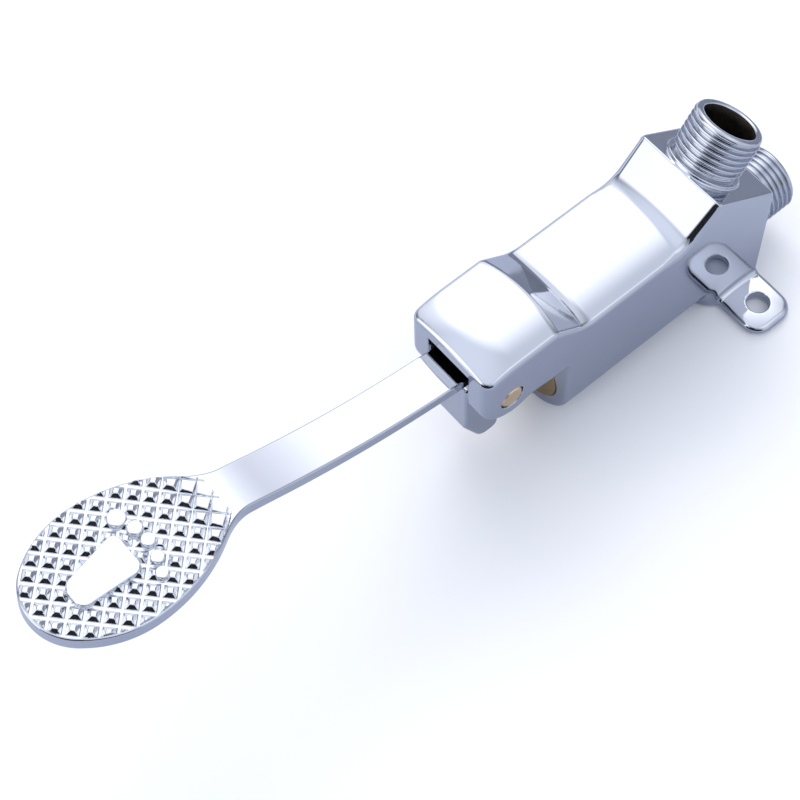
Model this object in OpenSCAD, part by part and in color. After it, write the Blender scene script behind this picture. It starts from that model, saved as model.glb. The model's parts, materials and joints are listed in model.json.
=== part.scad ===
// Foot pedal tap valve: a floor-standing brass valve opened by a bell-crank pedal.
// Millimetres. X across the valve, -Y towards the pedal, +Z up from the floor.
// Lengths named "from the front" run along Y from the front face of the hood.

/* [Body] */
// Width of the body across its flat sides
body_w = 31; // [29:0.5:34]
// Length of the body from the front face of the hood to its rear face
body_l = 106.5; // [104:0.5:112]
// Rise of the crowned top above its side edges
crown_h = 2; // [1:0.1:3]
// Radius of the rounded edges between the crowned top and the sides
edge_r = 3; // [1:0.1:3.5]
// Height of the waist at its side edges
waist_h = 49.6; // [46:0.2:52]
// Where the slope behind the hood ends, from the front
waist_from = 35.7; // [33:0.1:38]
// Where the waist ends and the rear ramp starts, from the front
waist_to = 71.7; // [69:0.1:74]
// Height of the ridge at the top of the rear ramp
ridge_h = 60.8; // [58:0.2:64]
// The ridge, from the front
ridge_at = 82.6; // [80:0.1:85]
// Fall of the outlet face behind the ridge, in degrees
outlet_fall = 35.5; // [33:0.5:40]

/* [Hood] */
// Height of the hood at its side edges
hood_h = 57.5; // [55:0.5:60]
// Length of the hood's top, at its side edges
hood_l = 24.5; // [22:0.5:27]
// Height of the open underside of the hood
hood_floor = 34; // [33:0.5:36]
// Width of the slot for the pedal lever
slot_w = 16; // [15.4:0.1:17]
// Height of the top of the slot
slot_top = 54; // [53:0.5:55]
// Depth of the slot from the front
slot_l = 24; // [22:0.5:26]
// Front face of the round tube below the hood, from the front
tube_from = 30; // [28:0.5:32]

/* [Connections] */
// Outside diameter of the half-inch pipe thread
thread_d = 20.955; // [20.6:0.005:21]
// Diameter of the thread's root, used for the runout groove
thread_root_d = 18.6; // [18:0.1:19]
// Bore of each connection
pipe_bore_d = 16; // [13:0.2:16.4]
// Length of the outlet connection above its sloping face
outlet_l = 15.2; // [14:0.1:18]
// Centre of the outlet below the ridge, along its sloping face
outlet_at = 11.3; // [11:0.1:13]
// Length of the inlet connection behind the rear face
inlet_l = 17.5; // [15:0.5:20]
// Height of the inlet's axis
inlet_h = 18.5; // [17:0.5:19]
// Length of the lead-in chamfer at each thread's end
lead_in = 0.9; // [0.5:0.1:1.2]

/* [Floor ears] */
// Distance between the two floor screw holes
screw_spacing = 48; // [46:0.5:52]
// Diameter of each screw hole
screw_hole_d = 6.6; // [5:0.1:7]
// Half the width of each ear, and its length beyond the screw hole
ear_r = 8; // [7:0.1:9]
// Radius of each ear's corners
ear_corner_r = 5.5; // [4:0.1:7]
// Thickness of each ear
ear_t = 4; // [3:0.1:5]

/* [Pedal] */
// Height of the pivot pin
pin_h = 41.8; // [41:0.1:43]
// Pivot pin from the front
pin_at = 9.4; // [9:0.1:10]
// Diameter of the pivot pin
pin_d = 7; // [6:0.1:8]
// Width of the lever's arm and leg
arm_w = 13.2; // [12:0.1:14]
// Thickness of the arm
arm_t = 4; // [3.5:0.1:5]
// Radius of the arm's upward bend, on its top face
arm_bend_r = 250; // [240:1:260]
// Upward angle of the arm where it leaves the hood
arm_start = 8; // [7:0.5:9]
// Upward angle of the arm where it meets the pad
arm_end = 26; // [24:0.1:27]
// Height of the arm's top face at the front of the hood
arm_h = 49.7; // [49:0.1:50]
// Upward tilt of the pad
pad_tilt = 8; // [6:0.5:10]
// Half the pad's width
pad_half = 18.4; // [17.6:0.2:19]
// Radius of the pad's long sides towards the arm
pad_side_r = 47.3; // [46:0.1:49]
// Radius of the pad's sides towards the tip
pad_front_r = 29.6; // [28:0.1:32]
// Length of the pad from its widest place to the tip
pad_l = 24.3; // [23:0.1:25]
// Length of the pad from its widest place to the arm
pad_neck = 31; // [30:0.2:31]
// Thickness of the pad
pad_t = 4.6; // [4.2:0.1:5.4]

/* [Tread] */
// Spacing of the studs in the waffle tread
stud_pitch = 4.2; // [4:0.1:4.8]
// Width of the flat grooves between the studs
stud_gap = 0.8; // [0.6:0.1:1]
// Height of each stud above the pad
stud_h = 1.1; // [0.8:0.05:1.2]
// Length at the arm over which the studs get lower
stud_fade = 16; // [10:1:20]
// Plain rim left round the tread
rim_w = 0.6; // [0.4:0.1:1.6]
// Height of the footprint above the pad
print_h = 1.5; // [1.2:0.1:1.8]

/* [Valve core] */
// Radius of the brass gland in the front of the tube
gland_r = 11.3; // [11:0.1:11.6]
// Radius of the water chamber along the tube
chamber_r = 9.5; // [9.3:0.1:9.7]
// Radius of the sliding stem
stem_r = 3; // [2.8:0.1:3.1]
// Free gap between the lever's leg and the stem's end
push_gap = 0.3; // [0.3:0.05:0.5]
// Radius of the rubber seal washer
washer_r = 7.2; // [7:0.1:7.4]
// Radius of the return spring, at the middle of its wire
spring_r = 6; // [5.8:0.1:6.2]
// Diameter of the spring wire
wire_d = 1.1; // [0.9:0.1:1.2]
// Number of curls in the spring
curls = 4; // [3:1:4]

/* [Hidden] */
$fn = 96;

chrome = [0.80, 0.81, 0.84];
brass = [0.72, 0.55, 0.25];
rubber = [0.08, 0.08, 0.08];
fibre = [0.45, 0.15, 0.10];
steel = [0.70, 0.70, 0.72];

// The frame's origin is on the floor, midway between the screw holes
ear_at = body_l - ear_r;
axis_h = body_w / 2;
crown_r = (body_w * body_w / 4 + crown_h * crown_h) / (2 * crown_h);
rear_h = ridge_h - (body_l - ridge_at) * tan(outlet_fall);
slope_run = (waist_from - hood_l) / (hood_h - waist_h);
outlet_y = ridge_at + outlet_at * cos(outlet_fall);
outlet_z = ridge_h - outlet_at * sin(outlet_fall);
outlet_bore_l = outlet_z - axis_h;
outlet_collar_r = thread_d / 2 + 0.6;
outlet_collar_t = 1.2;
inlet_collar_r = thread_d / 2 + 2;
inlet_collar_t = 2;
runout_w = 1.5;
arc_steps = 5;
fit_gap = 0.05;
press_gap = 0.01;
over = 1;

// Stations along the stem's axis, from the front
leg_back = 13;
stem_front = leg_back + push_gap;
head_l = 3.4;
head_r = 4.2;
dome_r = 7;
hex_l = 3;
hex_r = 7.6;
gland_l = 11.5;
gland_proud = 0.4;
gland_front = tube_from - gland_proud;
gland_back = gland_front + gland_l;
gasket_t = 0.5;
thread_back = gland_back + gasket_t;
packing_r = 5;
gland_wall = 1.6;
packing_from = gland_front + gland_wall;
ring_wire_r = 0.92;
ring_step = 2 * (ring_wire_r + fit_gap);
retainer_from = packing_from + 2 * ring_step + fit_gap;
retainer_t = 2;
cage_back = 87;
cage_wall = 2.9;
window_from = 54;
window_to = 79;
window_w = 7;
seat_bore_r = 5.5;
seat_lip_w = 0.8;
seat_lip_h = 0.8;
groove_at = 83;
groove_w = 2;
groove_depth = 1.5;
cage_ring_r = 0.7;
washer_front = cage_back + seat_lip_h + 2 * fit_gap;
washer_t = 2.5;
spigot_r = 2;
cup_t = 1;
cup_lip = 0.6;
lock_t = 0.5;
lock_r = 3.6;
nut_l = 3;
nut_r = 4.04;
chamber_back = 104.5;
seat_ring_t = 1.4;
seat_ring_bore_r = 5;
cup_back = washer_front + washer_t + cup_t;
seat_ring_front = chamber_back - fit_gap - seat_ring_t;
spring_gap = 0.3;
spring_from = cup_back + spring_gap + wire_d / 2;
spring_to = seat_ring_front - fit_gap - wire_d / 2;

// Moves a shape drawn from the front face into the part's own frame
module placed() {
    translate([0, -ear_at, 0]) children();
}

// Extrudes a side view, drawn as length from the front and height, across the valve
module across(width) {
    rotate([90, 0, 90]) linear_extrude(width, center = true) children();
}

// A cylinder along the valve from one station to another
module rod(from, to, r, h = axis_h) {
    translate([0, from, h]) rotate([-90, 0, 0]) cylinder(h = to - from, r = r);
}

// A ring along the valve from one station to another
module collar(from, to, r, bore) {
    difference() {
        rod(from, to, r);
        rod(from - over, to + over, bore);
    }
}

// A round sealing ring on the valve's axis
module round_ring(at, r, wire_r) {
    translate([0, at, axis_h]) rotate([-90, 0, 0]) rotate_extrude() translate([r, 0]) circle(r = wire_r);
}

// The points of one corner of an outline, rounded to radius r
function unit(v) = v / norm(v);
function corner(a, b, c, r) =
    let (u = unit(a - b), v = unit(c - b), half = acos(u * v) / 2,
         m = b + unit(u + v) * r / sin(half),
         s = b + u * r / tan(half) - m, e = b + v * r / tan(half) - m,
         from = atan2(s.y, s.x), turn = (atan2(e.y, e.x) - from + 540) % 360 - 180)
    [for (i = [0 : arc_steps]) m + r * [cos(from + turn * i / arc_steps), sin(from + turn * i / arc_steps)]];

// An outline whose corners are given as [x, y, radius]
function outline(p) =
    let (n = len(p), q = [for (c = p) [c[0], c[1]]])
    [for (i = [0 : n - 1])
        each p[i][2] == 0 ? [q[i]] : corner(q[(i + n - 1) % n], q[i], q[(i + 1) % n], p[i][2])];

// The space below a crowned top with rounded edges, between two stations
module crowned(from, to, side_h) {
    top = side_h + crown_h;
    middle = top - crown_r;
    edge_x = body_w / 2 - edge_r;
    edge_z = middle + sqrt((crown_r - edge_r) * (crown_r - edge_r) - edge_x * edge_x);
    crown_x = edge_x * crown_r / (crown_r - edge_r);
    translate([0, to, 0]) rotate([90, 0, 0]) linear_extrude(to - from) {
        translate([-body_w / 2, 0]) square([body_w, edge_z]);
        for (side = [-1, 1]) translate([side * edge_x, edge_z]) circle(r = edge_r);
        intersection() {
            translate([-crown_x, 0]) square([2 * crown_x, top]);
            translate([0, middle]) circle(r = crown_r);
        }
    }
}

// The hood over the lever, with round cheeks about the pin
module hood() {
    top = hood_h + crown_h;
    intersection() {
        across(body_w) union() {
            polygon(outline([[0, pin_h, 0], [0, top, 2.5], [hood_l - crown_h * slope_run, top, 2],
                             [waist_from + over, waist_h - over / slope_run, 0],
                             [waist_from + over, hood_floor, 0], [pin_at, hood_floor, 0]]));
            translate([pin_at, pin_h]) circle(r = pin_at);
        }
        crowned(-over, waist_from + 2 * over, hood_h);
    }
}

// The round tube with its tall flat-sided waist
module waist() {
    rod(tube_from, body_l, axis_h);
    translate([0, 0, axis_h]) intersection() {
        translate([0, 0, -axis_h]) crowned(tube_from, waist_to + over, waist_h);
        translate([-body_w / 2, tube_from, 0]) cube([body_w, body_l, ridge_h]);
    }
}

// The rear block with its ramp, ridge and sloping outlet face
module rear_block() {
    ramp = (ridge_h - waist_h) / (ridge_at - waist_to);
    across(body_w) polygon(outline([
        [waist_to, waist_h, 0], [ridge_at, ridge_h, 1], [body_l, rear_h, 1],
        [body_l, 0, 0], [body_l - 2 * ear_r, 0, 0], [body_l - 2 * ear_r, axis_h, 3],
        [waist_to - over, axis_h, 0], [waist_to - over, waist_h - over * ramp, 0]]));
}

// Both ears: one flat lug with round corners
module ears() {
    reach = screw_spacing / 2 + ear_r;
    translate([0, ear_at, 0]) linear_extrude(ear_t) {
        for (x = [-1, 1]) for (y = [-1, 1])
            translate([x * (reach - ear_corner_r), y * (ear_r - ear_corner_r)]) circle(r = ear_corner_r);
        square([2 * (reach - ear_corner_r), 2 * ear_r], center = true);
        square([2 * reach, 2 * (ear_r - ear_corner_r)], center = true);
    }
}

// A half-inch male connection standing on z = 0: collar, runout groove, thread and lead-in
module connection(length, collar_r, collar_t) {
    runout = collar_t + runout_w;
    r = thread_d / 2;
    rotate_extrude() polygon([
        [0, -over], [collar_r, -over], [collar_r, collar_t], [thread_root_d / 2, collar_t],
        [thread_root_d / 2, runout], [r, runout], [r, length - lead_in],
        [r - lead_in, length], [0, length]]);
}

// Places a shape with its z axis along the outlet
module at_outlet() {
    translate([0, outlet_y, outlet_z]) rotate([-outlet_fall, 0, 0]) children();
}

// Places a shape with its z axis along the inlet
module at_inlet() {
    translate([0, body_l, inlet_h]) rotate([-90, 0, 0]) children();
}

module valve_body() {
    slot_r = 3;
    color(chrome) placed() difference() {
        union() {
            hood();
            waist();
            rear_block();
            ears();
            at_outlet() connection(outlet_l, outlet_collar_r, outlet_collar_t);
            at_inlet() connection(inlet_l, inlet_collar_r, inlet_collar_t);
        }
        // slot for the lever, open at the front and below
        across(slot_w) polygon(outline([[-over, 0, 0], [-over, slot_top, 0], [slot_l, slot_top, slot_r],
                                        [slot_l, 0, 0]]));
        // pivot pin
        translate([0, pin_at, pin_h]) rotate([0, 90, 0])
            cylinder(h = body_w + 2 * over, r = pin_d / 2 + press_gap, center = true);
        // gland thread, water chamber and its two ways out
        rod(tube_from - over, thread_back, gland_r + fit_gap);
        rod(tube_from, chamber_back, chamber_r);
        at_outlet() translate([0, 0, outlet_l + over]) mirror([0, 0, 1])
            cylinder(h = outlet_l + over + outlet_bore_l, r = pipe_bore_d / 2);
        at_inlet() translate([0, 0, chamber_back - body_l - over])
            cylinder(h = inlet_l + body_l - chamber_back + 2 * over, r = pipe_bore_d / 2);
        // floor screws
        for (side = [-1, 1]) translate([side * screw_spacing / 2, ear_at, -over])
            cylinder(h = ear_t + 2 * over, r = screw_hole_d / 2);
    }
}

module pivot_pin() {
    bevel = 0.4;
    r = pin_d / 2;
    l = body_w / 2;
    color(brass) placed() translate([0, pin_at, pin_h]) rotate([0, 90, 0])
        rotate_extrude() polygon([[0, -l], [r - bevel, -l], [r, bevel - l],
                                  [r, l - bevel], [r - bevel, l], [0, l]]);
}

// Centre of the arm's bend, and the top edge of its end at the pad
bend_y = arm_bend_r * sin(arm_start);
bend_z = arm_h + arm_bend_r * cos(arm_start);
function arm_point(angle, r) = [bend_y - r * sin(angle), bend_z - r * cos(angle)];
arm_root = asin((bend_y - pin_at) / arm_bend_r);
neck = arm_point(arm_end, arm_bend_r);
neck_lap = 0.6;
neck_step = 0.2;
groove_lift = 0.05;

// Side view of the arm: a stretch of a large ring
module arm_side() {
    reach = arm_bend_r * 1.2;
    intersection() {
        difference() {
            translate([bend_y, bend_z]) circle(r = arm_bend_r + arm_t);
            translate([bend_y, bend_z]) circle(r = arm_bend_r);
        }
        polygon([[bend_y, bend_z], arm_point(arm_root, reach), arm_point(arm_end, reach)]);
    }
}

// Side view of the leg that pushes the stem
module leg_side() {
    front = 0.8;
    foot = 9.5;
    polygon(outline([[front, arm_h - arm_t, 0], [front, 21, 4], [6.5, foot, 3], [leg_back, foot, 2.5],
                     [leg_back, arm_h - arm_t, 0]]));
}

// Places a shape on the pad: x across, y towards the tip, z up from the tread, from its widest place
module on_pad() {
    translate([0, neck.x, neck.y]) rotate([-pad_tilt, 0, 0]) rotate([0, 0, 180])
        translate([0, pad_neck - neck_lap, neck_step]) children();
}

// Where two arcs that bulge to both sides overlap, between two heights
module lens(r, inset, from, to) {
    intersection() {
        translate([r - pad_half, 0]) circle(r = r - inset);
        translate([pad_half - r, 0]) circle(r = r - inset);
        translate([-pad_half, from]) square([2 * pad_half, to - from]);
    }
}

// The pad's egg outline, drawn in by a margin: its long sides, its fuller sides and its round tip
module pad_outline(inset) {
    side_x = pad_front_r - pad_half;
    tip_r = (pad_front_r ^ 2 - side_x ^ 2 - pad_l ^ 2) / (2 * (pad_front_r - pad_l));
    tip_y = pad_l - tip_r;
    meet = (pad_front_r - inset) * tip_y / (pad_front_r - tip_r);
    lens(pad_side_r, inset, -pad_neck, 0);
    lens(pad_front_r, inset, -pad_half, meet);
    translate([0, tip_y]) circle(r = tip_r - inset);
}

// A row of grooves along y with sloping walls, wide enough for the whole pad
module grooves() {
    half = stud_gap / 2;
    high = stud_h + groove_lift;
    reach = pad_neck + pad_l;
    count = ceil(reach / 2 / stud_pitch);
    for (i = [-count : count]) translate([i * stud_pitch, 0, groove_lift]) rotate([90, 0, 0])
        linear_extrude(2 * reach, center = true)
            polygon([[-half, 0], [half, 0], [half + high, high], [-half - high, high]]);
}

// The tread: blunt pyramids left between two crossing rows of grooves, at 45 degrees to the arm
module studs() {
    fade_from = 2 * groove_lift;
    fade_rise = stud_h + over - fade_from;
    difference() {
        intersection() {
            translate([0, 0, -over]) linear_extrude(stud_h + over) pad_outline(rim_w);
            across(2 * pad_half) polygon([[-pad_neck, -2 * over], [-pad_neck, fade_from],
                                       [stud_fade * fade_rise / stud_h - pad_neck, stud_h + over],
                                       [pad_l, stud_h + over], [pad_l, -2 * over]]);
        }
        rotate([0, 0, 45]) grooves();
        rotate([0, 0, -45]) grooves();
    }
}

// The raised bare-foot figure: a sole, and five toes given as [x, y, radius]
module footprint() {
    toes = [[8.6, -7.4, 2.45], [3.8, -9.3, 2], [-0.7, -9.9, 1.9], [-5.8, -8.9, 1.8], [-9.9, -7.2, 1.7]];
    translate([0, 0, -over]) linear_extrude(over + print_h) {
        for (toe = toes) translate([toe[0], toe[1]]) circle(r = toe[2]);
        polygon(outline([[4.75, -4.4, 2.6], [-7.45, -3.7, 2.2], [-7.35, 0.1, 2], [-5.25, 3.8, 4],
                         [-6.15, 15.8, 2.7], [-0.15, 15.8, 2.7], [2.05, 3.1, 4], [4.75, 0.3, 2]]));
    }
}

module pedal_lever() {
    hub_r = 7.6;
    hub_play = 0.3;
    hub_w = slot_w - 2 * hub_play;
    color(chrome) placed() difference() {
        union() {
            across(arm_w) {
                arm_side();
                leg_side();
            }
            translate([0, pin_at, pin_h]) rotate([0, 90, 0]) cylinder(h = hub_w, r = hub_r, center = true);
            on_pad() {
                translate([0, 0, -pad_t]) linear_extrude(pad_t) pad_outline(0);
                studs();
                footprint();
            }
        }
        translate([0, pin_at, pin_h]) rotate([0, 90, 0])
            cylinder(h = body_w, r = pin_d / 2 + fit_gap, center = true);
    }
}

module gland_nut() {
    color(brass) placed() difference() {
        union() {
            rod(gland_front, gland_back, gland_r);
            translate([0, gland_front - hex_l, axis_h]) rotate([-90, 0, 0])
                cylinder(h = hex_l + over, r = hex_r, $fn = 6);
        }
        rod(gland_front - hex_l - over, gland_back + over, stem_r + fit_gap);
        rod(packing_from, gland_back + over, packing_r);
    }
}

module gland_gasket() {
    color(fibre) placed() collar(gland_back, thread_back, gland_r - fit_gap, chamber_r + fit_gap);
}

// One of the two sealing rings on the stem, counted from the front
module stem_o_ring(i) {
    at = packing_from + (i + 0.5) * ring_step;
    color(rubber) placed() round_ring(at, stem_r + ring_wire_r + fit_gap, ring_wire_r);
}

module front_stem_o_ring() {
    stem_o_ring(0);
}

module rear_stem_o_ring() {
    stem_o_ring(1);
}

module o_ring_retainer() {
    color(brass) placed()
        collar(retainer_from, retainer_from + retainer_t, packing_r - press_gap, stem_r + fit_gap);
}

module valve_cage() {
    r = chamber_r - fit_gap;
    mid = (window_from + window_to) / 2;
    color(brass) placed() difference() {
        union() {
            rod(gland_back + fit_gap, cage_back, r);
            rod(cage_back - over, cage_back + seat_lip_h, seat_bore_r + seat_lip_w);
        }
        rod(gland_back - over, window_to, r - cage_wall);
        rod(gland_back, cage_back + 2 * over, seat_bore_r);
        for (turn = [0, 90]) translate([0, mid, axis_h]) rotate([0, turn, 0])
            cube([window_w, window_to - window_from, 3 * r], center = true);
        collar(groove_at - groove_w / 2, groove_at + groove_w / 2, r + over, r - groove_depth);
    }
}

module cage_o_ring() {
    color(rubber) placed() round_ring(groove_at, chamber_r - fit_gap - cage_ring_r, cage_ring_r);
}

module valve_stem() {
    spigot_end = 0.6;
    spigot_back = cup_back + lock_t + nut_l + spigot_end;
    color(brass) placed() union() {
        intersection() {
            rod(stem_front, stem_front + head_l, head_r);
            translate([0, stem_front + dome_r, axis_h]) sphere(r = dome_r);
        }
        rod(stem_front + head_l - over, washer_front, stem_r);
        rod(washer_front - over, spigot_back, spigot_r);
    }
}

module seal_washer() {
    color(rubber) placed() collar(washer_front, washer_front + washer_t, washer_r, spigot_r + fit_gap);
}

module washer_cup() {
    lip_from = washer_front + washer_t / 2;
    lip_r = washer_r + fit_gap;
    color(brass) placed() difference() {
        rod(lip_from, cup_back, lip_r + cup_lip);
        rod(lip_from - over, washer_front + washer_t, lip_r);
        rod(lip_from, cup_back + over, spigot_r + fit_gap);
    }
}

module lock_washer() {
    color(steel) placed() collar(cup_back, cup_back + lock_t, lock_r, spigot_r + fit_gap);
}

module stem_nut() {
    color(brass) placed() difference() {
        translate([0, cup_back + lock_t, axis_h]) rotate([-90, 0, 0]) cylinder(h = nut_l, r = nut_r, $fn = 6);
        rod(cup_back, cup_back + lock_t + nut_l + over, spigot_r + fit_gap);
    }
}

// The spring: one tube of hexagonal section swept along a helix, eight rings to a curl
curl_rings = 8;
wire_sides = 6;
rings = curls * curl_rings;
function wire_point(i, k) =
    let (turn = 360 * i / curl_rings, around = 360 * k / wire_sides,
         r = spring_r + wire_d / 2 * cos(around),
         y = spring_from + (spring_to - spring_from) * i / rings + wire_d / 2 * sin(around))
    [r * cos(turn), y, axis_h + r * sin(turn)];
wire_points = [for (i = [0 : rings]) for (k = [0 : wire_sides - 1]) wire_point(i, k)];
function wire_at(i, k) = i * wire_sides + k % wire_sides;
wire_faces = concat(
    [for (i = [0 : rings - 1]) for (k = [0 : wire_sides - 1])
        each [[wire_at(i, k), wire_at(i + 1, k), wire_at(i, k + 1)],
              [wire_at(i, k + 1), wire_at(i + 1, k), wire_at(i + 1, k + 1)]]],
    [for (k = [1 : wire_sides - 2]) [wire_at(0, 0), wire_at(0, k), wire_at(0, k + 1)]],
    [for (k = [1 : wire_sides - 2]) [wire_at(rings, 0), wire_at(rings, k + 1), wire_at(rings, k)]]);
// Least gap of the wire to itself, half a curl or more away
wire_gap = min([for (i = [0 : rings - curl_rings / 2]) for (j = [i + curl_rings / 2 : rings])
    for (k = [0 : wire_sides - 1]) for (m = [0 : wire_sides - 1]) norm(wire_point(i, k) - wire_point(j, m))]);

module return_spring() {
    echo(str("least gap of the spring to itself: ", wire_gap, " mm"));
    color(steel) placed() polyhedron(points = wire_points, faces = wire_faces);
}

module spring_seat() {
    color(brass) placed()
        collar(seat_ring_front, seat_ring_front + seat_ring_t, chamber_r - fit_gap, seat_ring_bore_r);
}

valve_body();
pivot_pin();
pedal_lever();
gland_nut();
gland_gasket();
front_stem_o_ring();
rear_stem_o_ring();
o_ring_retainer();
valve_cage();
cage_o_ring();
valve_stem();
seal_washer();
washer_cup();
lock_washer();
stem_nut();
return_spring();
spring_seat();
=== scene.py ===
import itertools
import json
import math

import bpy
import numpy as np
from mathutils import Matrix, Vector


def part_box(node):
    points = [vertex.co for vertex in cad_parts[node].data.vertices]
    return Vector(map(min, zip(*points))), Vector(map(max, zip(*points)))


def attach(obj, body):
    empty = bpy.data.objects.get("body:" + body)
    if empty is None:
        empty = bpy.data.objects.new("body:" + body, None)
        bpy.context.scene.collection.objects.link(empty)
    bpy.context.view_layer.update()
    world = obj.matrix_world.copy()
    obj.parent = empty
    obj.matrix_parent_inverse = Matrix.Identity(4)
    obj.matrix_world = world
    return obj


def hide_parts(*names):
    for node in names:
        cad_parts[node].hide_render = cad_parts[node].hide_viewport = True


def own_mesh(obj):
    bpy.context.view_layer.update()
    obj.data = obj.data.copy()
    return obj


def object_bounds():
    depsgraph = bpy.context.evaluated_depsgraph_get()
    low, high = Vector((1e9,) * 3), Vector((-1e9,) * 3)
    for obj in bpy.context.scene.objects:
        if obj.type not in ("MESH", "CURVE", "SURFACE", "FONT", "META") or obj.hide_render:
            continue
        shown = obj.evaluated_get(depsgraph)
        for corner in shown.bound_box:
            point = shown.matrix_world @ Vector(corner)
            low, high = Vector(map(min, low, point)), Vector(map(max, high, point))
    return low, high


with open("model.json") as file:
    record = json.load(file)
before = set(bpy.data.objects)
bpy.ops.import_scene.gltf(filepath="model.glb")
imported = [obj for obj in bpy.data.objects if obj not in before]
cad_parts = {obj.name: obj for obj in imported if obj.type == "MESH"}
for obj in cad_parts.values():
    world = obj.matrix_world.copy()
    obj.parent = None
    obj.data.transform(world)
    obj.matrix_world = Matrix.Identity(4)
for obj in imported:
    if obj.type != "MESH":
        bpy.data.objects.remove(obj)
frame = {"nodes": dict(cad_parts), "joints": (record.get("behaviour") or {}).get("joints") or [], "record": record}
cad_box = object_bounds()
mounts = {m["name"]: m for m in frame["record"]["mounts"]}
joints = {j["name"]: j for j in frame["joints"]}

# Sizes in millimetres. Lengths "from the front" run along Y from the front face of the hood.
MM = 0.001
FAR = 1e3
running_gap = 0.05

# Body
body_w = 31.0
body_l = 106.5
axis_h = body_w / 2
crown_h = 2.0
crown_r = (body_w ** 2 / 4 + crown_h ** 2) / (2 * crown_h)
hood_h = 57.5
hood_l = 24.5
hood_bulge = 1.5
hood_floor = 34.0
nose_l = 11.0
nose_r = 30.0
waist_h = 49.6
waist_from = 35.7
waist_to = 71.7
ridge_h = 60.8
ridge_at = 82.6
block_lap = 12.0
tube_from = 30.0
foot_spread_l = 8.0

# Radii of the body's edges, some of which change from the front to the rear, and of its fillets
top_edge_at = (64, 72, 82, 84)
top_edge_r = (1.2, 2.6, 2.4, 1.2)
side_edge_at = (hood_l - 10, hood_l)
side_edge_r = (3.0, 1.3)
hood_edge_r = 0.7
ridge_edge_r = 0.4
rear_edge_r = 1.0
ramp_fillet_r = 2.0
waist_fillet_r = 1.5
cheek_fillet_r = 1.5
ear_fillet_r = 1.5
collar_fillet_r = 0.6
slot_edge_r = 0.5
pin_hole_edge_r = 0.2
screw_hole_edge_r = 0.5
bore_edge_r = 0.3

# Floor ears
ear_r = 8.0
ear_t = 4.0
ear_at = body_l - ear_r
screws = mounts["floor_screws"]["dims"]
screw_x = screws["spacing_x_mm"] / 2
screw_r = screws["hole_r_mm"]

# Pipe connections with a half-inch thread. A collar is a radius and a height.
thread_r = mounts["inlet_thread"]["dims"]["r_mm"]
thread_pitch = 1.814
thread_depth = 1.162
thread_end = 1.1
core_r = thread_r - thread_depth - 0.2
outlet_fall = math.radians(35.5)
outlet_at = 11.3
outlet_l = 15.2
outlet_collar = (thread_r + 0.6, 1.2)
outlet_axis = (0, math.sin(outlet_fall), math.cos(outlet_fall))
outlet_base = (0, ridge_at + outlet_at * math.cos(outlet_fall), ridge_h - outlet_at * math.sin(outlet_fall))
inlet_l = 17.5
inlet_h = 18.5
inlet_collar = (thread_r + 2.0, 2.0)
inlet_axis = (0, 1, 0)
inlet_base = (0, body_l, inlet_h)
pipe_bore_r = 8.0

# Slot, pin and valve core
slot_w = 16.0
slot_top = 53.0
slot_l = 24.0
slot_corner_r = 3.0
pin_h = joints["pedal_pivot"]["pos_m"][2] / MM
pin_at = joints["pedal_pivot"]["pos_m"][1] / MM + ear_at
pin_r = 3.5
pin_ring = 0.35
gland_r = 11.3
gland_front = 29.6
gland_back = 41.1
chamber_r = 9.5
chamber_back = 104.5
stem_r = 3.0

# Lever
arm_w = 13.2
arm_t = 4.0
arm_bend_r = 250.0
arm_start = math.radians(8)
arm_end = math.radians(26)
arm_h = 49.7
bend_y = arm_bend_r * math.sin(arm_start)
bend_z = arm_h + arm_bend_r * math.cos(arm_start)
arm_root = math.asin((bend_y - pin_at) / arm_bend_r)
arm_blend = 4.0
arm_edge_r = 0.6
hub_r = 7.6
hub_w = 15.4
hub_edge_r = 0.8
lever_fillet_r = 1.5

# Pad, an egg of three arcs
pad_tilt = math.radians(8)
pad_half = 18.4
pad_side_r = 47.3
pad_front_r = 29.6
pad_l = 24.3
pad_tip_r = (pad_front_r ** 2 - (pad_front_r - pad_half) ** 2 - pad_l ** 2) / 2 / (pad_front_r - pad_l)
pad_neck = 31.0
pad_t = 4.6
neck_lap = 0.6
neck_step = 0.2

# Tread, and the bare foot in it. A toe is a place across and towards the tip, and a radius.
stud_pitch = 4.2
stud_gap = 0.8
stud_h = 1.1
stud_from = 3.0
stud_fade = 6.0
stud_sunk = -0.2
stud_edge_r = 0.15
stud_fillet_r = 0.12
rim_w = 0.6
tread_root = 1.0
print_h = 1.5
print_edge_r = 0.4
print_fillet_r = 0.15
toe_spots = [(8.6, -7.4, 2.45), (3.8, -9.3, 2.0), (-0.7, -9.9, 1.9),
             (-5.8, -8.9, 1.8), (-9.9, -7.2, 1.7)]


# Distance fields. Each takes points in millimetres, from the front, and is negative inside the solid.

def round_max(a, b, r):
    """Intersection of two fields, with the convex edge between them rounded to radius r."""
    inside = np.minimum(np.maximum(a, b), -r)
    return inside + np.hypot(np.maximum(a + r, 0), np.maximum(b + r, 0))


def round_min(a, b, r):
    """Union of two fields, with the concave corner between them filled to radius r."""
    return -round_max(-a, -b, r)


def blend_max(a, b, reach):
    """Intersection of two fields at a shallow angle, blended where they differ by less than reach."""
    return np.maximum(a, b) + np.maximum(reach - np.abs(a - b), 0) ** 2 / (4 * reach)


def blend_min(a, b, reach):
    """Union of two fields at a shallow angle, blended where they differ by less than reach."""
    return -blend_max(-a, -b, reach)


def plane(u, v, through, run, rise):
    """Distance above a line through a point of the (u, v) plane that climbs rise in run."""
    return ((v - through[1]) * run - (u - through[0]) * rise) / np.hypot(run, rise)


def along(p, base, direction):
    """Height along an axis and distance from it."""
    d = p - np.array(base)
    h = d @ np.array(direction)
    return h, np.sqrt(np.maximum((d * d).sum(1) - h * h, 0))


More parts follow.
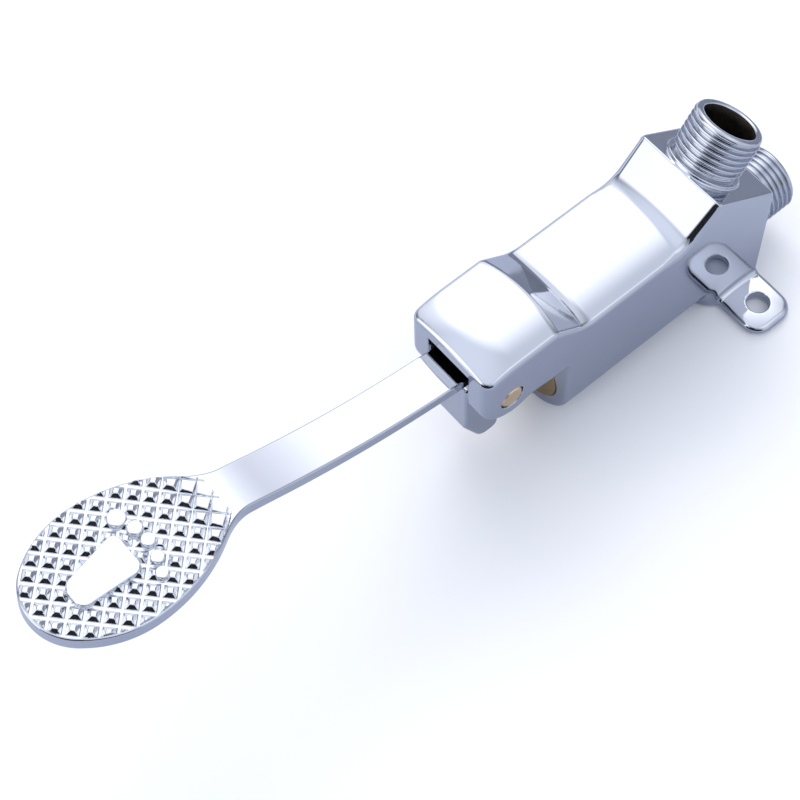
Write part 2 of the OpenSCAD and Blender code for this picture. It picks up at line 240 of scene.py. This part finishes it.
def crown(x, z, side_h):
    """The crowned top whose side edges lie at height side_h."""
    return np.hypot(x, z - (side_h + crown_h - crown_r)) - crown_r


def top_field(x, y, z):
    """The upper side from front to rear: hood, slope, waist, ramp, ridge and outlet face."""
    arch = 1 - (x / axis_h) ** 2
    hood_end = hood_l + hood_bulge * arch
    slope = plane(y, z - crown_h * arch, (hood_end, hood_h), waist_from - hood_end, waist_h - hood_h)
    droop = np.maximum(nose_l - y, 0) ** 2 / (2 * nose_r)
    hood = round_max(crown(x, z + droop, hood_h), slope, hood_edge_r)
    foot = np.clip((ridge_at - y) / (ridge_at - waist_to), 0, 1)
    ramp = plane(y, z - crown_h * arch * foot, (waist_to, waist_h), ridge_at - waist_to, ridge_h - waist_h)
    outlet = plane(y, z, (ridge_at, ridge_h), math.cos(outlet_fall), -math.sin(outlet_fall))
    block = np.maximum(round_max(ramp, outlet, ridge_edge_r), waist_to - block_lap - y)
    waist = np.maximum(crown(x, z, waist_h), y - ridge_at)
    return round_min(hood, round_min(waist, block, ramp_fillet_r), waist_fillet_r)


def under_field(y, z):
    """The front and underside: the hood's nose, its round cheeks about the pin, and the tube's front."""
    cheek = np.where(z > pin_h, -y, np.hypot(y - pin_at, z - pin_h) - pin_at)
    beneath = round_min(cheek, np.maximum(pin_at - y, hood_floor - z), cheek_fillet_r)
    return round_max(round_min(beneath, tube_from - y, cheek_fillet_r), y - body_l, rear_edge_r)


def sides_field(x, y, z):
    """Flat sides above the stem's axis and the round belly below it, which spreads into the rear foot."""
    belly = np.hypot(x, np.minimum(z - axis_h, 0)) - axis_h
    gap = np.abs(x) - axis_h - belly
    t = np.clip((y - body_l + 2 * ear_r) / foot_spread_l + 1, 0, 1)
    slant = gap * 6 * t * (1 - t) / foot_spread_l
    return (belly + gap * t * t * (3 - 2 * t)) / np.hypot(1, slant)


def ears_field(x, y, z):
    """Both floor ears, one lug with round corners and a slightly domed top."""
    dome_r = 40.0
    corner_r = 5.5
    edge_r = 1.6
    lug = round_max(np.abs(x) - screw_x - ear_r, np.abs(y - ear_at) - ear_r, corner_r)
    out = np.maximum(np.abs(x) - screw_x + ear_r / 2, 0)
    fall = (out ** 2 / 2 + (y - ear_at) ** 2) / (2 * dome_r)
    return round_max(lug, np.maximum(z - ear_t + fall, -z), edge_r)


def stub_field(p, base, axis, collar, length):
    """A connection's collar and the plain core below its thread, rooted in the body."""
    edge_r = 0.4
    core_end = 1.5
    root = 3.0
    h, r = along(p, base, axis)
    ring = round_max(r - collar[0], h - collar[1], edge_r)
    core = np.maximum(r - core_r, h - (length - core_end))
    return np.maximum(np.minimum(ring, core), -root - h)


def waterway_field(p):
    """The gland's thread, the chamber and both pipe bores, negative inside the hollow."""
    gasket_room = 0.5
    inlet_lap = 1.0
    x, y, z = p.T
    r = np.hypot(x, z - axis_h)
    gland = np.maximum(r - gland_r - running_gap, y - gland_back - gasket_room)
    chamber = np.maximum(r - chamber_r, np.maximum(y - chamber_back, tube_from - y))
    h_out, r_out = along(p, outlet_base, outlet_axis)
    outlet = np.maximum(r_out - pipe_bore_r, axis_h - outlet_base[2] - h_out)
    h_in, r_in = along(p, inlet_base, inlet_axis)
    inlet = np.maximum(r_in - pipe_bore_r, chamber_back - body_l - inlet_lap - h_in)
    return np.minimum(np.minimum(gland, chamber), np.minimum(outlet, inlet))


def slot_field(x, y, z):
    """The slot for the lever, negative inside the hollow."""
    return np.maximum(np.abs(x) - slot_w / 2, round_max(y - slot_l, z - slot_top, slot_corner_r))


def body_field(p):
    """The body's casting, with its collars, cores and holes."""
    x, y, z = p.T
    d = round_max(under_field(y, z), sides_field(x, y, z), np.interp(y, side_edge_at, side_edge_r))
    d = round_max(d, top_field(x, y, z), np.interp(y, top_edge_at, top_edge_r))
    d = round_min(d, ears_field(x, y, z), ear_fillet_r)
    d = np.maximum(np.maximum(d, -z), y - body_l)
    d = round_min(d, stub_field(p, outlet_base, outlet_axis, outlet_collar, outlet_l), collar_fillet_r)
    d = round_min(d, stub_field(p, inlet_base, inlet_axis, inlet_collar, inlet_l), collar_fillet_r)
    d = round_max(d, -slot_field(x, y, z), slot_edge_r)
    pin_hole = np.hypot(y - pin_at, z - pin_h) - pin_r - pin_ring
    screw_hole = np.maximum(np.hypot(np.abs(x) - screw_x, y - ear_at) - screw_r, z - 2 * ear_t)
    d = round_max(d, -pin_hole, pin_hole_edge_r)
    d = round_max(d, -screw_hole, screw_hole_edge_r)
    return round_max(d, -waterway_field(p), bore_edge_r)


# The pad's own axes: across, towards the tip, and up from the tread, from its widest place
neck_y = bend_y - arm_bend_r * math.sin(arm_end)
neck_z = bend_z - arm_bend_r * math.cos(arm_end)
pad_across = np.array((-1, 0, 0))
pad_tip = np.array((0, -math.cos(pad_tilt), math.sin(pad_tilt)))
pad_up = np.array((0, math.sin(pad_tilt), math.cos(pad_tilt)))
pad_origin = np.array((0, neck_y, neck_z)) + pad_tip * (pad_neck - neck_lap) + pad_up * neck_step


def on_pad(p):
    """Points in the pad's own axes."""
    d = p - pad_origin
    return d @ pad_across, d @ pad_tip, d @ pad_up


def egg(u, v):
    """The pad's outline: long sides that close towards the arm, fuller sides and a round tip."""
    tip_v = pad_l - pad_tip_r
    side_u = np.abs(u) + pad_front_r - pad_half
    in_tip = side_u * tip_v < v * (pad_front_r - pad_half)
    front = np.where(in_tip, np.hypot(u, v - tip_v) - pad_tip_r, np.hypot(side_u, v) - pad_front_r)
    return np.where(v > 0, front, np.hypot(np.abs(u) + pad_side_r - pad_half, v) - pad_side_r)


def sole(u, v):
    """The bare foot's sole: a wedge that narrows from the ball to the heel, with round corners."""
    inner_at = (-0.7, 5.0)
    inner_run = 13.9
    inner_rise = -3.54
    outer = 6.5
    ball = 4.7
    heel = 13.7
    corner_r = 2.6
    sides = np.maximum(plane(v, u, inner_at, inner_run, inner_rise), -u - outer)
    ends = np.maximum(-v - ball, v - heel)
    return round_max(sides, ends, corner_r)


def toes(u, v):
    """Five toes on an arc, from the big one down."""
    d = np.full_like(u, FAR)
    for toe_u, toe_v, toe_r in toe_spots:
        d = np.minimum(d, np.hypot(u - toe_u, v - toe_v) - toe_r)
    return d


def studs_field(u, v, w):
    """The tread's blunt pyramids, in rows at 45 degrees to the arm. They get lower towards it."""
    half = (stud_pitch - stud_gap) / 2
    s = (u + v) / math.sqrt(2)
    t = (v - u) / math.sqrt(2)
    off = np.maximum(np.abs(s % stud_pitch - stud_pitch / 2), np.abs(t % stud_pitch - stud_pitch / 2))
    walls = (off + w - half) / math.sqrt(2)
    top = w - stud_h * np.clip((v + pad_neck - stud_from) / stud_fade, stud_sunk, 1)
    inside = np.maximum(egg(u, v) + rim_w, -pad_neck - v)
    return np.maximum(round_max(walls, top, stud_edge_r), np.maximum(inside, -tread_root - w))


def leg_field(x, y, z):
    """The leg that pushes the stem: flat in front down to a knee, then slanting back to its foot."""
    front = 0.8
    knee_h = 21.0
    slant_run = 5.7
    slant_rise = -11.5
    back = 13.0
    bottom = 9.5
    back_edge_r = 1.5
    foot_edge_r = 2.5
    flank_edge_r = 1.0
    face = np.maximum(front - y, -plane(y, z, (front, knee_h), slant_run, slant_rise))
    d = round_max(round_max(face, y - back, back_edge_r), bottom - z, foot_edge_r)
    return round_max(np.maximum(d, z - pin_h), np.abs(x) - arm_w / 2, flank_edge_r)


def lever_field(p):
    """The lever in one piece: bent arm, pad with its tread and bare foot, hub and leg."""
    x, y, z = p.T
    u, v, w = on_pad(p)
    radius = np.hypot(y - bend_y, z - bend_z)
    angle = np.arctan2(bend_y - y, bend_z - z)
    top = blend_max(arm_bend_r - radius, w, arm_blend)
    under = blend_min(radius - arm_bend_r - arm_t, -w - pad_t, arm_blend)
    strip = np.maximum(np.abs(x) - arm_w / 2, v + pad_neck / 2)
    outline = blend_min(strip, egg(u, v), arm_blend)
    plate = round_max(np.maximum(top, under), outline, arm_edge_r)
    d = np.maximum(plate, (arm_root - angle) * arm_bend_r)
    from_pin = np.hypot(y - pin_at, z - pin_h)
    hub = round_max(from_pin - hub_r, np.abs(x) - hub_w / 2, hub_edge_r)
    d = round_min(d, round_min(leg_field(x, y, z), hub, lever_fillet_r), lever_fillet_r)
    d = round_min(d, studs_field(u, v, w), stud_fillet_r)
    mark = np.minimum(sole(u, v), toes(u, v))
    d = round_min(d, np.maximum(round_max(mark, w - print_h, print_edge_r), -tread_root - w), print_fillet_r)
    return np.maximum(d, pin_r + running_gap - from_pin)


def gland_field(p):
    """The gland: a threaded disc with a chamfered hexagon in front and a packing chamber behind."""
    disc_edge_r = 0.4
    hexagon_flat = 6.58
    hexagon_l = 3.0
    hexagon_edge_r = 0.2
    chamfer_r = 6.9
    chamfer_rise = 1.7
    packing_r = 5.0
    packing_wall = 1.6
    inner_edge_r = 0.3
    x, y, z = p.T
    z = z - axis_h
    r = np.hypot(x, z)
    disc = round_max(r - gland_r, np.maximum(gland_front - y, y - gland_back), disc_edge_r)
    flats = np.full_like(x, -FAR)
    for k in range(6):
        a = math.radians(30 + 60 * k)
        flats = np.maximum(flats, x * math.cos(a) + z * math.sin(a))
    hexagon = round_max(flats - hexagon_flat, np.abs(y - gland_front) - hexagon_l, hexagon_edge_r)
    hexagon = np.maximum(hexagon, plane(y, r, (gland_front - hexagon_l, chamfer_r), 1, chamfer_rise))
    packing = np.maximum(r - packing_r, gland_front + packing_wall - y)
    d = round_min(disc, hexagon, inner_edge_r)
    return round_max(np.maximum(d, -packing), stem_r + running_gap - r, inner_edge_r)


# Meshes from distance fields: one vertex in each grid cell that the surface crosses, moved onto the surface

CORNERS = np.array(list(itertools.product((0, 1), repeat=3)))
EDGES = [(a, b) for a in range(8) for b in range(a + 1, 8) if abs(CORNERS[a] - CORNERS[b]).sum() == 1]


def in_chunks(field, p, size=200000):
    """A field's values at many points, a part of them at a time."""
    return np.concatenate([field(p[i:i + size]) for i in range(0, len(p), size)])


def gradient(field, p, h=0.02):
    """A field's slope at each point, by central differences."""
    g = np.empty_like(p)
    for k in range(3):
        step = np.zeros(3)
        step[k] = h
        g[:, k] = (in_chunks(field, p + step) - in_chunks(field, p - step)) / (2 * h)
    return g


def cells_near(field, low, high, step, levels=4):
    """Grid cells of size step within a margin, in cells, of the surface, found by halving larger ones."""
    margin = 1.6
    size = step * 2 ** levels
    count = np.ceil((high - low) / size).astype(int)
    cells = np.stack(np.meshgrid(*[np.arange(n) for n in count], indexing="ij"), -1).reshape(-1, 3)
    for level in range(levels + 1):
        cells = cells[np.abs(in_chunks(field, low + (cells + 0.5) * size)) < margin * size]
        if level < levels:
            cells = (cells[:, None] * 2 + CORNERS).reshape(-1, 3)
            size /= 2
    return cells


def onto_surface(field, p, step):
    """Moves points near a field's surface onto it, in a few bounded steps."""
    least_slope = 0.5
    for _ in range(3):
        g = gradient(field, p)
        move = g * (in_chunks(field, p) / np.maximum((g * g).sum(1), least_slope ** 2))[:, None]
        p = p - np.clip(move, -step / 2, step / 2)
    return p


def surface(field, low, high, step):
    """Points, quads and normals of a field's surface inside a box."""
    low = np.array(low, float)
    cells = cells_near(field, low, np.array(high, float), step)
    wide = cells.max() + 3

    def key(c):
        return (c[..., 0] * wide + c[..., 1]) * wide + c[..., 2]

    corner_keys, where = np.unique(key(cells[:, None] + CORNERS), return_inverse=True)
    where = where.reshape(len(cells), 8)
    corner_cells = np.stack([corner_keys // wide ** 2, corner_keys // wide % wide, corner_keys % wide], -1)
    value = in_chunks(field, low + corner_cells * step)
    corner_value = value[where]
    active = (corner_value < 0).any(1) & (corner_value >= 0).any(1)
    cells = cells[active]
    corner_value = corner_value[active]
    order = np.argsort(key(cells))
    cells = cells[order]
    corner_value = corner_value[order]
    cell_keys = key(cells)

    total = np.zeros((len(cells), 3))
    crossings = np.zeros((len(cells), 1))
    for a, b in EDGES:
        va = corner_value[:, a:a + 1]
        vb = corner_value[:, b:b + 1]
        cut = (va < 0) != (vb < 0)
        t = np.where(cut, va / np.where(cut, va - vb, 1), 0)
        total += np.where(cut, CORNERS[a] + t * (CORNERS[b] - CORNERS[a]), 0)
        crossings += cut
    p = onto_surface(field, low + (cells + total / crossings) * step, step)
    normals = gradient(field, p)
    normals /= np.maximum(np.linalg.norm(normals, axis=1, keepdims=True), 1e-9)

    quads = []
    unit = np.eye(3, dtype=int)
    for k in range(3):
        ahead_keys = key(corner_cells + unit[k])
        ahead = np.minimum(np.searchsorted(corner_keys, ahead_keys), len(corner_keys) - 1)
        cut = (corner_keys[ahead] == ahead_keys) & ((value < 0) != (value[ahead] < 0))
        start = corner_cells[cut]
        v = unit[(k + 1) % 3]
        w = unit[(k + 2) % 3]
        ring = key(np.stack([start, start - v, start - v - w, start - w], 1))
        index = np.minimum(np.searchsorted(cell_keys, ring), len(cell_keys) - 1)
        whole = (cell_keys[index] == ring).all(1)
        flip = (value[cut] >= 0)[:, None]
        quads.append(np.where(flip, index[:, ::-1], index)[whole])
    return p, np.concatenate(quads), normals


def make_object(name, points, faces, normals=None):
    """A smooth mesh object from points in millimetres, from the front."""
    mesh = bpy.data.meshes.new(name)
    mesh.from_pydata((points - (0, ear_at, 0)) * MM, [], faces)
    mesh.shade_smooth()
    if normals is not None:
        mesh.normals_split_custom_set_from_vertices(normals)
    obj = bpy.data.objects.new(name, mesh)
    bpy.context.scene.collection.objects.link(obj)
    return obj


def field_object(name, field, low, high, step):
    points, quads, normals = surface(field, low, high, step * (1))
    return make_object(name, points, quads, normals)


def give(obj, body, node, slot, *materials):
    """Puts a piece on its body in place of a node, with its materials."""
    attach(obj, body)
    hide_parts(node)
    for m in materials:
        obj.data.materials.append(m)
    return obj


def face_centres(obj):
    """Middle of each face, in millimetres, from the front."""
    flat = np.empty(len(obj.data.polygons) * 3)
    obj.data.polygons.foreach_get("center", flat)
    return flat.reshape(-1, 3) / MM + (0, ear_at, 0)


def paint_faces(obj, chosen, index):
    """Gives the chosen faces the material at an index."""
    current = np.zeros(len(obj.data.polygons), np.int32)
    obj.data.polygons.foreach_get("material_index", current)
    current[chosen] = index
    obj.data.polygons.foreach_set("material_index", current)


def grid_faces(rows, columns):
    """Quads of a grid of points that closes round each row."""
    i, j = np.meshgrid(np.arange(rows - 1) * columns, np.arange(columns), indexing="ij")
    k = (j + 1) % columns
    return np.stack([i + j, i + k, i + columns + k, i + columns + j], -1).reshape(-1, 4)


# Materials. A noise's values lie mostly between these two.

NOISE_LOW = 0.3
NOISE_HIGH = 0.7


def new_material(name):
    """A material with its node tree and its shader."""
    m = bpy.data.materials.new(name)
    m.use_nodes = True
    return m, m.node_tree, m.node_tree.nodes["Principled BSDF"]


def matt_material(name, colour):
    """A matt material of one colour, for the stage."""
    m, _, shader = new_material(name)
    shader.inputs["Base Color"].default_value = (*colour, 1)
    shader.inputs["Roughness"].default_value = 0.9
    return m


def noise(tree, scale):
    """Noise fixed to the piece, in cycles per metre."""
    where = tree.nodes.new("ShaderNodeTexCoord")
    n = tree.nodes.new("ShaderNodeTexNoise")
    n.inputs["Scale"].default_value = scale
    n.inputs["Detail"].default_value = 3.0
    tree.links.new(where.outputs["Object"], n.inputs["Vector"])
    return n.outputs["Fac"]


def spread(tree, value, low, high):
    """A number from low to high, by a noise."""
    r = tree.nodes.new("ShaderNodeMapRange")
    r.inputs["From Min"].default_value = NOISE_LOW
    r.inputs["From Max"].default_value = NOISE_HIGH
    r.inputs["To Min"].default_value = low
    r.inputs["To Max"].default_value = high
    tree.links.new(value, r.inputs["Value"])
    return r.outputs["Result"]


def between(tree, value, first, second):
    """A colour between two, by a noise."""
    r = tree.nodes.new("ShaderNodeValToRGB")
    r.color_ramp.elements[0].position = NOISE_LOW
    r.color_ramp.elements[0].color = (*first, 1)
    r.color_ramp.elements[1].position = NOISE_HIGH
    r.color_ramp.elements[1].color = (*second, 1)
    tree.links.new(value, r.inputs["Fac"])
    return r.outputs["Color"]


def bump(tree, shader, value, depth):
    """Bump of a depth in metres."""
    b = tree.nodes.new("ShaderNodeBump")
    b.inputs["Strength"].default_value = 1.0
    b.inputs["Distance"].default_value = depth
    tree.links.new(value, b.inputs["Height"])
    tree.links.new(b.outputs["Normal"], shader.inputs["Normal"])


def patchy(name, metallic, first, second, rough, patch, grain, wave, depth):
    """A material whose colour varies in patches and its roughness in a finer grain, with a faint waviness."""
    m, tree, shader = new_material(name)
    shader.inputs["Metallic"].default_value = metallic
    tree.links.new(between(tree, noise(tree, patch), first, second), shader.inputs["Base Color"])
    tree.links.new(spread(tree, noise(tree, grain), *rough), shader.inputs["Roughness"])
    bump(tree, shader, noise(tree, wave), depth)
    return m


chrome = patchy("chrome_plate", 1.0, (0.54, 0.565, 0.62), (0.57, 0.59, 0.64),
                rough=(0.03, 0.07), patch=40, grain=280, wave=60, depth=6e-6)
# A lighter copy of the chrome for the raised tread: painted highlight
lit_tread_chrome = patchy("tread_plate_painted_highlight", 1.0, (0.68, 0.70, 0.74), (0.72, 0.74, 0.77),
                      rough=(0.06, 0.12), patch=40, grain=280, wave=90, depth=6e-6)
# Unplated metal for the bores, the slot and the pipe mouths, made near black: painted shade in those recesses
shaded_casting = patchy("raw_casting_painted_shade", 1.0, (0.030, 0.027, 0.023), (0.055, 0.047, 0.036),
              rough=(0.45, 0.65), patch=90, grain=630, wave=1500, depth=6e-5)
brass = patchy("machined_brass", 1.0, (0.40, 0.27, 0.11), (0.50, 0.35, 0.16),
               rough=(0.26, 0.40), patch=120, grain=840, wave=1800, depth=3e-6)
pin_brass = patchy("turned_brass", 1.0, (0.74, 0.53, 0.30), (0.86, 0.64, 0.39),
                   rough=(0.28, 0.40), patch=160, grain=1120, wave=1800, depth=3e-6)
steel = patchy("spring_steel", 1.0, (0.50, 0.50, 0.51), (0.62, 0.62, 0.62),
               rough=(0.18, 0.32), patch=150, grain=1050, wave=2000, depth=5e-6)
rubber = patchy("nitrile_rubber", 0.0, (0.012, 0.012, 0.013), (0.028, 0.028, 0.030),
                rough=(0.50, 0.70), patch=200, grain=1000, wave=2500, depth=1e-5)
fibre = patchy("pressed_fibre", 0.0, (0.30, 0.07, 0.04), (0.42, 0.13, 0.08),
               rough=(0.65, 0.85), patch=500, grain=2500, wave=3000, depth=3e-5)

# Body, plated outside and on the lips of its openings, and raw inside the bores and the slot, where the raw metal
# is painted near black as painted shade in those recesses
bore_margin = 0.15
bore_lip = 0.6
slot_margin = 0.1
slot_lip = 1.2
body = field_object("body_casting", body_field, low=(-34, -2, -1), high=(34, 126, 76), step=0.4)
give(body, "valve", "valve_body", "chrome_body", chrome, shaded_casting)
middle = face_centres(body)
in_bore = (waterway_field(middle) < bore_margin) & (middle[:, 1] > tube_from + bore_lip)
in_slot = (slot_field(*middle.T) < slot_margin) & (middle[:, 1] > slot_lip)
paint_faces(body, in_bore | in_slot, 1)


def thread_object(name, base, axis, collar, length):
    """A helical pipe thread with its lead-in, end face and mouth, standing on a connection's collar."""
    turns = 192
    per_pitch = 24
    flatness = 1.5
    lead_in = 1.2 * thread_pitch
    collar_lap = 0.4
    end_step = 0.3
    end_slope = 0.8
    face_w = 0.9
    lip_w = 0.35
    lip_h = 0.4
    lining_l = 3.0
    lining_r = pipe_bore_r - 0.05
    up = Vector(axis)
    right = Vector((1, 0, 0))
    ahead = up.cross(right)
    a = np.arange(collar[1] - collar_lap, length, thread_pitch / per_pitch)
    theta = np.arange(turns) * 2 * math.pi / turns
    height, angle = np.meshgrid(a, theta, indexing="ij")
    phase = (height / thread_pitch - angle / (2 * math.pi)) % 1
    ridge = 0.5 + np.tanh(flatness * np.cos(2 * math.pi * phase)) / (2 * math.tanh(flatness))
    grow = np.clip((height - collar[1]) / lead_in, 0, 1)
    r = thread_r - thread_depth * (1 - ridge * grow)
    over = np.clip(height - length + thread_end, 0, thread_end)
    rounding = thread_end - np.sqrt(thread_end ** 2 - over ** 2)
    r = np.where(over > 0, thread_r - end_step - rounding * end_slope, r)
    mouth = [(pipe_bore_r + face_w, length), (pipe_bore_r + lip_w, length),
             (lining_r, length - lip_h), (lining_r, length - lining_l)]
    for mouth_r, mouth_h in mouth:
        r = np.vstack([r, np.full(turns, mouth_r)])
        height = np.vstack([height, np.full(turns, mouth_h)])
    angle = np.broadcast_to(theta, r.shape)
    points = (np.array(base) + height[..., None] * np.array(up)
              + (r * np.cos(angle))[..., None] * np.array(right)
              + (r * np.sin(angle))[..., None] * np.array(ahead))
    thread = make_object(name, points.reshape(-1, 3), grid_faces(len(r), turns))
    give(thread, "valve", "valve_body", "chrome_body", chrome, shaded_casting)
    # The mouth's lining takes the near-black metal: painted shade inside the bore
    paint_faces(thread, np.arange(len(thread.data.polygons)) >= (len(r) - 2) * turns, 1)


thread_object("outlet_thread", outlet_base, outlet_axis, outlet_collar, outlet_l)
thread_object("inlet_thread", inlet_base, inlet_axis, inlet_collar, inlet_l)

# Lever, with a lighter copy of the chrome on the studs and the bare foot: a painted highlight on the raised tread
tread_margin = 0.1
lever = field_object("pedal_casting", lever_field, low=(-19, -131, 8), high=(19, 18, 82), step=0.25)
give(lever, "pedal", "pedal_lever", "chrome_lever", chrome, lit_tread_chrome)
pad_u, pad_v, pad_w = on_pad(face_centres(lever))
inside_rim = egg(pad_u, pad_v) < -rim_w + tread_margin
paint_faces(lever, (pad_w > tread_margin) & inside_rim & (pad_v > -pad_neck), 1)

# Gland
gland = field_object("gland", gland_field, low=(-12, 26, 3), high=(12, 42, 28), step=0.3)
give(gland, "valve", "gland_nut", "brass", brass)

# Spring
spring_low, spring_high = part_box("return_spring")


def spring_object():
    """The return spring, a round wire wound between the cup and its seat."""
    curls = 4
    per_curl = 48
    sides = 14
    wire = 0.55
    outer = (spring_high.x - spring_low.x) / 2 / MM
    first = spring_low.y / MM + ear_at + wire
    last = spring_high.y / MM + ear_at - wire
    rows = curls * per_curl + 1
    turn = np.arange(rows) * 2 * math.pi / per_curl
    around = np.arange(sides) * 2 * math.pi / sides
    turn, around = np.meshgrid(turn, around, indexing="ij")
    r = outer - wire + wire * np.cos(around)
    y = first + (last - first) * turn / turn.max() + wire * np.sin(around)
    points = np.stack([r * np.cos(turn), y, axis_h + r * np.sin(turn)], -1).reshape(-1, 3)
    faces = grid_faces(rows, sides).tolist()
    faces.append(list(range(sides)))
    faces.append(list(range((rows - 1) * sides, rows * sides))[::-1])
    return make_object("spring_wire", points, faces)


spring = give(spring_object(), "valve", "return_spring", "steel", steel)
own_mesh(spring)

# Finish of the carried-over nodes, by their slots
finishes = {"brass": brass, "rubber": rubber, "fibre": fibre, "steel": steel}
for part in frame["record"]["subparts"]:
    finish = finishes.get(part["material_slot"])
    if finish:
        obj = frame["nodes"][part["node"]]
        obj.data.materials.clear()
        obj.data.materials.append(pin_brass if part["node"] == "pivot_pin" else finish)


# Floor, light and camera, in metres

def lobe(tree, direction, towards, inner, outer, colour):
    """A soft patch of the sky: full inside one angle round a direction, gone outside another."""
    dot = tree.nodes.new("ShaderNodeVectorMath")
    dot.operation = "DOT_PRODUCT"
    dot.inputs[1].default_value = Vector(towards).normalized()
    tree.links.new(direction, dot.inputs[0])
    fade = tree.nodes.new("ShaderNodeMapRange")
    fade.interpolation_type = "SMOOTHSTEP"
    fade.inputs["From Min"].default_value = math.cos(math.radians(outer))
    fade.inputs["From Max"].default_value = math.cos(math.radians(inner))
    tree.links.new(dot.outputs["Value"], fade.inputs["Value"])
    tint = tree.nodes.new("ShaderNodeVectorMath")
    tint.operation = "SCALE"
    tint.inputs[0].default_value = colour
    tree.links.new(fade.outputs["Result"], tint.inputs["Scale"])
    return tint.outputs["Vector"]


def studio_sky(base, patches):
    """A world of one pale colour with soft bright patches."""
    world = bpy.data.worlds.new("studio")
    world.use_nodes = True
    tree = world.node_tree
    direction = tree.nodes.new("ShaderNodeTexCoord").outputs["Generated"]
    total = None
    for patch in patches:
        light = lobe(tree, direction, *patch)
        add = tree.nodes.new("ShaderNodeVectorMath")
        add.operation = "ADD"
        tree.links.new(light, add.inputs[0])
        if total is None:
            add.inputs[1].default_value = base
        else:
            tree.links.new(total, add.inputs[1])
        total = add.outputs["Vector"]
    tree.links.new(total, tree.nodes["Background"].inputs["Color"])
    return world


def add_flag(name, card, place, target, width, depth):
    """A card that shows in reflections alone, facing a target."""
    bpy.ops.mesh.primitive_plane_add(size=1, location=place)
    flag = bpy.context.object
    flag.name = name
    flag.scale = (width, depth, 1)
    flag.rotation_euler = (Vector(place) - Vector(target)).to_track_quat("Z", "Y").to_euler()
    flag.data.materials.append(card)
    flag.visible_camera = False
    flag.visible_diffuse = False
    flag.visible_shadow = False


floor_size = 4.0
floor_gap = 0.0002
bpy.ops.mesh.primitive_plane_add(size=floor_size, location=(0, 0, cad_box[0][2] - floor_gap))
floor = bpy.context.object
floor.name = "floor"
floor.data.materials.append(matt_material("floor_paper", (0.90, 0.90, 0.91)))

# Sky patches: direction, angle of full light, angle of none, colour
sky_base = (0.26, 0.29, 0.36)
sky_patches = [
    ((-0.45, 0.42, 0.79), 12, 30, (1.0, 0.98, 0.92)),
    ((-0.39, 0.83, 0.42), 10, 30, (0.9, 0.9, 0.95)),
    ((-0.82, 0.28, 0.50), 14, 40, (0.80, 0.80, 0.82)),
    ((0.05, 0.0, 1.0), 20, 62, (0.68, 0.70, 0.77)),
    ((-0.38, -0.25, 0.89), 12, 40, (0.22, 0.22, 0.24)),
    ((0.85, 0.35, 0.40), 20, 55, (0.55, 0.57, 0.62)),
    ((-0.35, -0.86, 0.36), 14, 36, (1.5, 1.48, 1.40)),
]
bpy.context.scene.world = studio_sky(sky_base, sky_patches)

side_lamp = bpy.data.lights.new("side_lamp", "AREA")
side_lamp.size = 0.7
side_lamp.energy = 2.5
side_light = bpy.data.objects.new("side_lamp", side_lamp)
side_light.location = (-0.75, 0.25, 0.85)
side_light.rotation_euler = side_light.location.to_track_quat("Z", "Y").to_euler()
side_light.visible_glossy = False
bpy.context.scene.collection.objects.link(side_light)

black_card = matt_material("black_card", (0.01, 0.01, 0.012))
grey_card = matt_material("grey_card", (0.32, 0.34, 0.40))
# Blue-grey, for the painted shade of the floor in reflections
floor_shade_card = matt_material("floor_shade_card", (0.50, 0.53, 0.62))
add_flag("tread_flag", black_card, (0.33, -0.59, 0.39), (0.0, -0.205, 0.07), width=0.26, depth=0.24)
add_flag("low_flag", black_card, (0.31, -0.45, 0.13), (0.0, -0.06, 0.13), width=0.85, depth=0.26)
# A sheet on the floor, darker than the floor, that only reflections see: painted shade of the floor near the body
# in the metal's reflections
add_flag("floor_shade_flag", floor_shade_card, (0.85, -0.75, 0.001), (0.85, -0.75, -1.0), width=2.3, depth=2.5)
add_flag("rear_flag", grey_card, (-0.06, 0.15, 0.045), (0.0, 0.0, 0.045), width=0.36, depth=0.09)

# Camera, fitted to the photo's edges
camera_azimuth = math.radians(51.821)
camera_elevation = math.radians(62.061)
camera_roll = math.radians(-2.222)
camera_target = Vector((-0.01575, -0.10247, 0.01226))
camera_distance = 0.6005
away = Vector((math.sin(camera_azimuth) * math.cos(camera_elevation),
               -math.cos(camera_azimuth) * math.cos(camera_elevation), math.sin(camera_elevation)))
right = Vector((math.cos(camera_azimuth), math.sin(camera_azimuth), 0))
up = away.cross(right)
roll_right = right * math.cos(camera_roll) + up * math.sin(camera_roll)
roll_up = up * math.cos(camera_roll) - right * math.sin(camera_roll)
camera_data = bpy.data.cameras.new("camera")
camera_data.sensor_width = 36.0
camera_data.lens = 96.43
camera = bpy.data.objects.new("camera", camera_data)
camera_turn = Matrix((roll_right, roll_up, away)).transposed().to_4x4()
camera.matrix_world = Matrix.Translation(camera_target + away * camera_distance) @ camera_turn
bpy.context.scene.collection.objects.link(camera)
bpy.context.scene.camera = camera
bpy.context.scene.view_settings.view_transform = "Standard"

bpy.context.view_layer.update()
